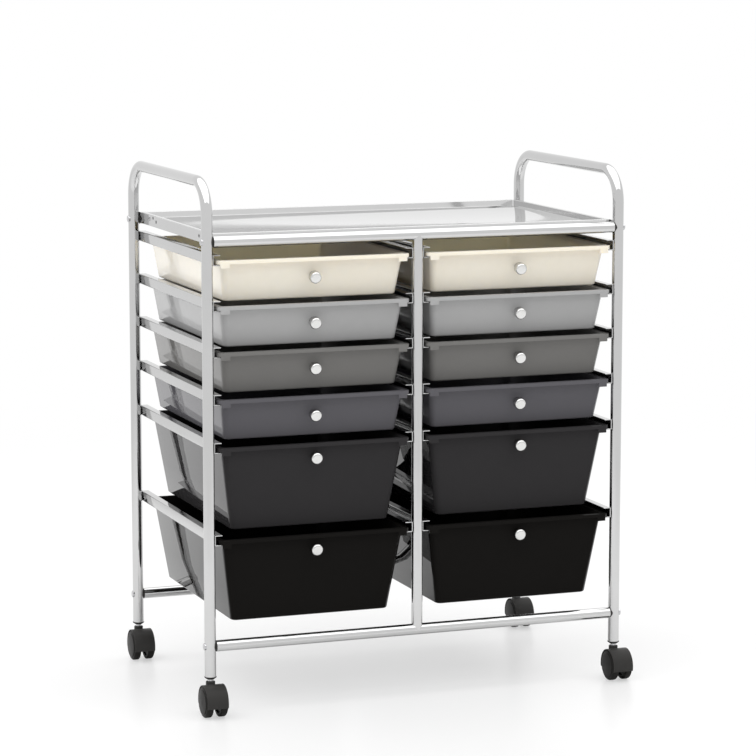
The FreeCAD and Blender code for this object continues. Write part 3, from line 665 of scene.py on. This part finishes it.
def runnersAndStops(tub, low, high, middle):
    shape = tubShape
    lipLow = high.z - shape["lip"]
    front, rear = low.y + shape["runnerFront"], high.y - shape["runnerRear"]
    for y in (front, rear):
        cutAcross(tub, (0, y, 0), (0, 1, 0))
    for x in (-shape["stopOuter"], -shape["stopInner"], shape["stopInner"], shape["stopOuter"]):
        cutAcross(tub, (middle.x + x, 0, 0), (1, 0, 0))

    def underLip(centre, normal):
        return normal.z < -alongAxis and abs(centre.z - lipLow) < sameHeight

    def underRunner(centre, normal):
        return underLip(centre, normal) and front < centre.y < rear

    def underStop(centre, normal):
        across = abs(centre.x - middle.x)
        atFront = centre.y < low.y + 2 * shape["wall"]
        return underLip(centre, normal) and atFront and shape["stopInner"] < across < shape["stopOuter"]

    grab(tub, "FACE", underRunner)
    extrude(z=-shape["runner"])
    leaveEdit()
    grab(tub, "FACE", underStop)
    extrude(z=-shape["stopDrop"])
    leaveEdit()


def drawerTubs():
    for master in (rows[0], firstDeepRow):  # the first of each kind
        home = f"left_drawer_{master}_tub"
        tub = drawerTub(home, tubLean[kindOf(master)])
        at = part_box(home)[0]
        for side in sides:
            for row in rows:
                if kindOf(row) == kindOf(master):
                    body = f"{side}_drawer_{row}"
                    copy = copyPiece(tub, body + "_moulded_tub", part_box(body + "_tub")[0] - at)
                    standFor(copy, body + "_tub", body, drawerPlastic[row])
        removePiece(tub)


drawerTubs()
print("drawer tubs made")


# knobs: a turned head and the screw that holds it from inside

knobShape = {"reach": 18.0 * mm, "headBase": 9.0 * mm, "headRadius": 8.5 * mm, "round": 3.2 * mm,
             "underRise": 0.6 * mm, "underIn": 0.5 * mm, "neck": 6.0 * mm, "neckRadius": 4.5 * mm,
             "flareRise": 0.8 * mm, "flareOut": 0.5 * mm, "screwRadius": 1.75 * mm, "capHeight": 2.4 * mm,
             "capRadius": 4.0 * mm, "capRound": 1.2 * mm}


def turnedKnob():  # along +Z from the wall, and the screw from behind the wall
    shape = knobShape
    reach, radius = shape["reach"], shape["headRadius"]
    neck, neckRadius, base = shape["neck"], shape["neckRadius"], shape["headBase"]
    head = lathe([(0, 0), (0, neckRadius), (neck, neckRadius),
                  (neck + shape["flareRise"], neckRadius + shape["flareOut"]),
                  (base - shape["underRise"], radius - shape["underIn"]), (base, radius)]
                 + roundOver(reach, radius, shape["round"]) + [(reach, 0)])
    wall, screwRadius = tubShape["wall"], shape["screwRadius"]
    capLow, capRadius = -wall - shape["capHeight"], shape["capRadius"]
    screw = lathe([(capLow, 0)] + roundOut(capLow, capRadius, shape["capRound"])
                  + [(-wall, capRadius), (-wall, screwRadius), (0, screwRadius), (0, 0)], points=32)
    for piece in (head, screw):
        shadeSmooth(piece, angle=40)
    return joinPieces([head, screw], "knob")


def drawerKnobs():
    knob = turnedKnob()
    for side in sides:
        for row in rows:
            body = f"{side}_drawer_{row}"
            low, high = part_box(body + "_knob")
            copy = copyPiece(knob, body + "_turned_knob")
            tilt = math.radians(tubLean[kindOf(row)]["end"])  # square to the wall
            copy.data.transform(Matrix.Rotation(math.pi / 2 + tilt, 4, "X"))
            points = [vertex.co for vertex in copy.data.vertices]
            frontmost, lowest = min(point.y for point in points), min(point.z for point in points)
            place = ((low.x + high.x) / 2, low.y - frontmost, low.z - lowest)
            copy.data.transform(Matrix.Translation(place))
            standFor(copy, body + "_knob", body, finished["knobMetal"])
    removePiece(knob)


drawerKnobs()
print("knobs made")


# bolts and caster sockets

boltShape = {"low": 6.0 * mm, "top": 9.6 * mm, "radius": 5.0 * mm, "dome": 1.2 * mm, "shankRadius": 2.5 * mm}
socketShape = {"low": 51.2 * mm, "seat": 54.8 * mm, "flangeRadius": 8.5 * mm, "cone": 2.4 * mm,
               "coneRadius": 5.4 * mm, "bodyRadius": 6.75 * mm, "boreRadius": 4.05 * mm, "boreTop": 84.2 * mm,
               "top": 88.0 * mm}


def postPlaces():
    low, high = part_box("left_side_frame")
    radius = (high.x - low.x) / 2
    x = (low.x + high.x) / 2
    return {"left": x, "right": -x}, {"front": low.y + radius, "rear": high.y - radius}


def frameBolts():
    shape = boltShape
    low, top, radius = shape["low"], shape["top"], shape["radius"]
    bolt = lathe([(0, 0), (0, shape["shankRadius"]), (low, shape["shankRadius"]), (low, radius)]
                 + roundOver(top, radius, shape["dome"], steps=6) + [(top, 0)], points=40)
    shadeSmooth(bolt, angle=40)
    columns, depths = postPlaces()
    heights = [(low.z + high.z) / 2 for low, high in (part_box("front_bottom_bar"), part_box("front_top_bar"))]
    pieces = []
    for side, x in columns.items():
        turn = Matrix.Rotation(math.pi / 2 if side == "right" else -math.pi / 2, 4, "Y")
        for y in depths.values():
            for z in heights:
                copy = copyPiece(bolt, "bolt")
                copy.data.transform(Matrix.Translation((x, y, z)) @ turn)
                pieces.append(copy)
    removePiece(bolt)
    bolts = joinPieces(pieces, "domed_bolts")
    standFor(bolts, "frame_bolts", "frame", finished["fastenerSteel"])


def casterSockets():
    shape = socketShape
    low, seat, top, boreTop = shape["low"], shape["seat"], shape["top"], shape["boreTop"]
    flange, body, bore = shape["flangeRadius"], shape["bodyRadius"], shape["boreRadius"]
    socket = lathe([(boreTop, 0), (boreTop, bore), (low, bore), (low, shape["coneRadius"]),
                    (low + shape["cone"], flange), (seat, flange), (seat, body), (top, body), (top, 0)],
                   points=40)
    shadeSmooth(socket, angle=40)
    columns, depths = postPlaces()
    pieces = [copyPiece(socket, "socket", (x, y, 0)) for x in columns.values() for y in depths.values()]
    removePiece(socket)
    sockets = joinPieces(pieces, "tube_end_sockets")
    standFor(sockets, "caster_sockets", "frame", finished["casterPlastic"])


frameBolts()
casterSockets()
print("bolts and sockets made")


# casters: each piece is shaped about the middle of its axle

casterTrail = 13.5 * mm  # from the stem to the axle, which points to the front at rest
wheelShape = {"radius": 22.0 * mm, "innerFace": 3.8 * mm, "outerFace": 16.7 * mm, "rimFace": 5.6 * mm,
              "rimRound": 1.6 * mm, "treadRound": 3.0 * mm, "discRadius": 18.0 * mm, "discFoot": 0.2 * mm,
              "discRound": 0.5 * mm, "groove": 1.0 * mm, "hubRadius": 6.0 * mm, "hollowRadius": 17.0 * mm,
              "hollow": 4.0 * mm, "bore": 2.55 * mm, "boreEnd": 14.5 * mm}


def casterWheel():  # the right-hand wheel, along +X
    shape = wheelShape
    inner, outer, rim, radius = shape["innerFace"], shape["outerFace"], shape["rimFace"], shape["radius"]
    disc, foot, boreEnd = shape["discRadius"], shape["discFoot"], shape["boreEnd"]
    shoulder, hollow = outer - shape["groove"], inner + shape["hollow"]
    wheel = lathe([(boreEnd, 0), (boreEnd, shape["bore"]), (inner, shape["bore"]),
                   (inner, shape["hubRadius"]), (hollow, shape["hubRadius"]), (hollow, shape["hollowRadius"]),
                   (rim, shape["hollowRadius"])]
                  + roundOut(rim, radius, shape["rimRound"], steps=4)
                  + roundOver(shoulder, radius, shape["treadRound"], steps=6)
                  + [(shoulder, disc + foot), (shoulder + foot, disc)]
                  + roundOver(outer, disc, shape["discRound"], steps=3) + [(outer, 0)], points=64)
    wheel.data.transform(Matrix.Rotation(math.pi / 2, 4, "Y"))
    shadeSmooth(wheel, angle=40)
    return wheel


hoodShape = {"radius": 23.8 * mm, "wellRadius": 22.6 * mm, "halfWidth": 15.2 * mm, "web": 3.3 * mm,
             "low": -6.0 * mm, "taper": 0.97, "neckRadius": 6.6 * mm, "neckTop": 26.1 * mm,
             "neckRound": 1.0 * mm, "edge": 0.35 * mm}


def casterHood():
    shape = hoodShape
    half, radius, well, low = shape["halfWidth"], shape["radius"], shape["wellRadius"], shape["low"]
    hood = barrel(radius, -half, half)
    grabAll(hood)
    bpy.ops.mesh.bisect(plane_co=(0, 0, low), plane_no=(0, 0, 1), clear_inner=True, use_fill=True)
    leaveEdit()
    top, neckRadius = shape["neckTop"], shape["neckRadius"]
    neck = lathe([(0, 0), (0, neckRadius)] + roundOver(top, neckRadius, shape["neckRound"], steps=4)
                 + [(top, 0)])
    neck.data.transform(Matrix.Translation((0, casterTrail, 0)))
    combine(hood, neck, "UNION")
    for side in (-1, 1):
        combine(hood, barrel(well, side * shape["web"], side * 2 * half), "DIFFERENCE")
    faceOutwards(hood)
    grab(hood, "VERT", lambda point: point.z < low + sameHeight
         and math.hypot(point.y, point.z) > (radius + well) / 2)
    stretch(y=shape["taper"])
    leaveEdit()
    softenEdges(hood, shape["edge"], segments=2, angle=50)
    shadeSmooth(hood, angle=35)
    return hood


stemShape = {"radius": 4.0 * mm, "low": 21.0 * mm, "top": 62.0 * mm, "chamfer": 1.5 * mm}


def casterStem():
    radius, low, top, chamfer = (stemShape[name] for name in ("radius", "low", "top", "chamfer"))
    stem = lathe([(low, 0), (low, radius), (top - chamfer, radius), (top, radius - chamfer), (top, 0)],
                 points=40)
    stem.data.transform(Matrix.Translation((0, casterTrail, 0)))
    shadeSmooth(stem, angle=40)
    return stem


def casters():
    hood, stem, wheel = casterHood(), casterStem(), casterWheel()
    columns, depths = postPlaces()
    for end, y in depths.items():
        for side, x in columns.items():
            corner = f"{end}_{side}_caster"
            axle = Vector((x, y - casterTrail, wheelShape["radius"]))
            standFor(copyPiece(hood, corner + "_moulded_hood", axle), corner + "_hood", corner,
                     finished["casterPlastic"])
            standFor(copyPiece(stem, corner + "_steel_stem", axle), corner + "_stem", corner,
                     finished["fastenerSteel"])
            for wheelSide in sides:
                node = f"{corner}_{wheelSide}_wheel"
                copy = copyPiece(wheel, node + "_moulded", axle, math.pi if wheelSide == "left" else 0)
                standFor(copy, node, node, finished["wheelPlastic"])
    for piece in (hood, stem, wheel):
        removePiece(piece)


casters()
print("casters made")


# nodes that keep their solids: flat sheet, or out of sight

def dressNode(node, material):
    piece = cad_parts[node]
    piece.data.materials.clear()
    piece.data.materials.append(material)


dressNode("top_side_rails", finished["railChrome"])
dressNode("bar_end_plugs", finished["casterPlastic"])
for end in ends:
    for side in sides:
        dressNode(f"{end}_{side}_caster_axle", finished["fastenerSteel"])


# studio

studio = {"floorSize": 40.0, "floorColour": grey(0.93), "floorRoughness": 0.28, "fadeStart": 1.0,
          "fadeEnd": 2.6, "leastFade": 0.5, "worldLevel": 0.68}


def seenDirectly(nodes, links):  # 1 for camera, glossy and transmission rays
    path = nodes.new("ShaderNodeLightPath")
    first = nodes.new("ShaderNodeMath")
    first.operation = "MAXIMUM"
    links.new(path.outputs["Is Camera Ray"], first.inputs[0])
    links.new(path.outputs["Is Glossy Ray"], first.inputs[1])
    both = nodes.new("ShaderNodeMath")
    both.operation = "MAXIMUM"
    links.new(first.outputs[0], both.inputs[0])
    links.new(path.outputs["Is Transmission Ray"], both.inputs[1])
    return both.outputs[0]


def studioFloor():  # pale paper that goes over into the white backdrop further out
    floor = addPlate((studio["floorSize"], studio["floorSize"]), (0, 0, 0))
    floor.name = floor.data.name = "studioFloor"
    material = bpy.data.materials.new("floorPaper")
    material.use_nodes = True
    nodes, links = material.node_tree.nodes, material.node_tree.links
    shader = nodes["Principled BSDF"]
    shader.inputs["Base Color"].default_value = studio["floorColour"]
    shader.inputs["Roughness"].default_value = studio["floorRoughness"]
    white = nodes.new("ShaderNodeEmission")
    place = nodes.new("ShaderNodeTexCoord")
    away = nodes.new("ShaderNodeVectorMath")
    away.operation = "LENGTH"
    fade = nodes.new("ShaderNodeMapRange")
    fade.interpolation_type = "SMOOTHSTEP"
    fade.inputs["From Min"].default_value = studio["fadeStart"]
    fade.inputs["From Max"].default_value = studio["fadeEnd"]
    near = nodes.new("ShaderNodeMath")  # close by, only the camera sees paler paper
    near.operation = "MULTIPLY"
    near.inputs[1].default_value = studio["leastFade"]
    share = nodes.new("ShaderNodeMath")
    share.operation = "MULTIPLY"
    mix = nodes.new("ShaderNodeMixShader")
    links.new(place.outputs["Object"], away.inputs[0])
    links.new(away.outputs["Value"], fade.inputs["Value"])
    links.new(nodes.new("ShaderNodeLightPath").outputs["Is Camera Ray"], near.inputs[0])
    links.new(near.outputs[0], fade.inputs["To Min"])
    links.new(fade.outputs["Result"], share.inputs[0])
    links.new(seenDirectly(nodes, links), share.inputs[1])
    links.new(share.outputs[0], mix.inputs["Fac"])
    links.new(shader.outputs["BSDF"], mix.inputs[1])
    links.new(white.outputs["Emission"], mix.inputs[2])
    links.new(mix.outputs["Shader"], nodes["Material Output"].inputs["Surface"])
    floor.data.materials.append(material)


def studioWorld():
    world = bpy.data.worlds.new("studioWorld")
    bpy.context.scene.world = world
    world.use_nodes = True
    nodes, links = world.node_tree.nodes, world.node_tree.links
    background = nodes["Background"]
    background.inputs["Color"].default_value = grey(1)
    level = nodes.new("ShaderNodeMapRange")
    level.inputs["To Min"].default_value = studio["worldLevel"]
    level.inputs["To Max"].default_value = 1.0
    links.new(seenDirectly(nodes, links), level.inputs["Value"])
    links.new(level.outputs["Result"], background.inputs["Strength"])


softboxes = {
    "overheadSoftbox": {"at": (0.3, -0.5, 2.9), "size": (5.8, 4.8), "power": 106, "turn": (0, 0, 0),
                        "mirrored": True},
    "leftFill": {"at": (-3.0, -0.3, 1.2), "size": (3.0, 3.0), "power": 30, "turn": (0, -90, 0),
                 "mirrored": False},
}


def studioSoftbox(name, settings):
    light = bpy.data.lights.new(name, "AREA")
    light.shape = "RECTANGLE"
    light.size, light.size_y = settings["size"]
    light.energy = settings["power"]
    holder = bpy.data.objects.new(name, light)
    bpy.context.scene.collection.objects.link(holder)
    holder.location = settings["at"]
    holder.rotation_euler = [math.radians(angle) for angle in settings["turn"]]
    holder.visible_glossy = settings["mirrored"]


photoCamera = {"at": (-1.5438, -4.1516, 1.0931), "yaw": 20.441, "pitch": 8.413, "lens": 145.08,
               "sensor": 36.0}


def studioCamera():
    camera = bpy.data.cameras.new("photoCamera")
    camera.lens = photoCamera["lens"]
    camera.sensor_width = photoCamera["sensor"]
    holder = bpy.data.objects.new("photoCamera", camera)
    bpy.context.scene.collection.objects.link(holder)
    holder.location = photoCamera["at"]
    holder.rotation_euler = (math.radians(90 - photoCamera["pitch"]), 0, math.radians(-photoCamera["yaw"]))
    bpy.context.scene.camera = holder


studioFloor()
studioWorld()
for name, settings in softboxes.items():
    studioSoftbox(name, settings)
studioCamera()
bpy.context.scene.view_settings.view_transform = "Standard"
print("studio made")
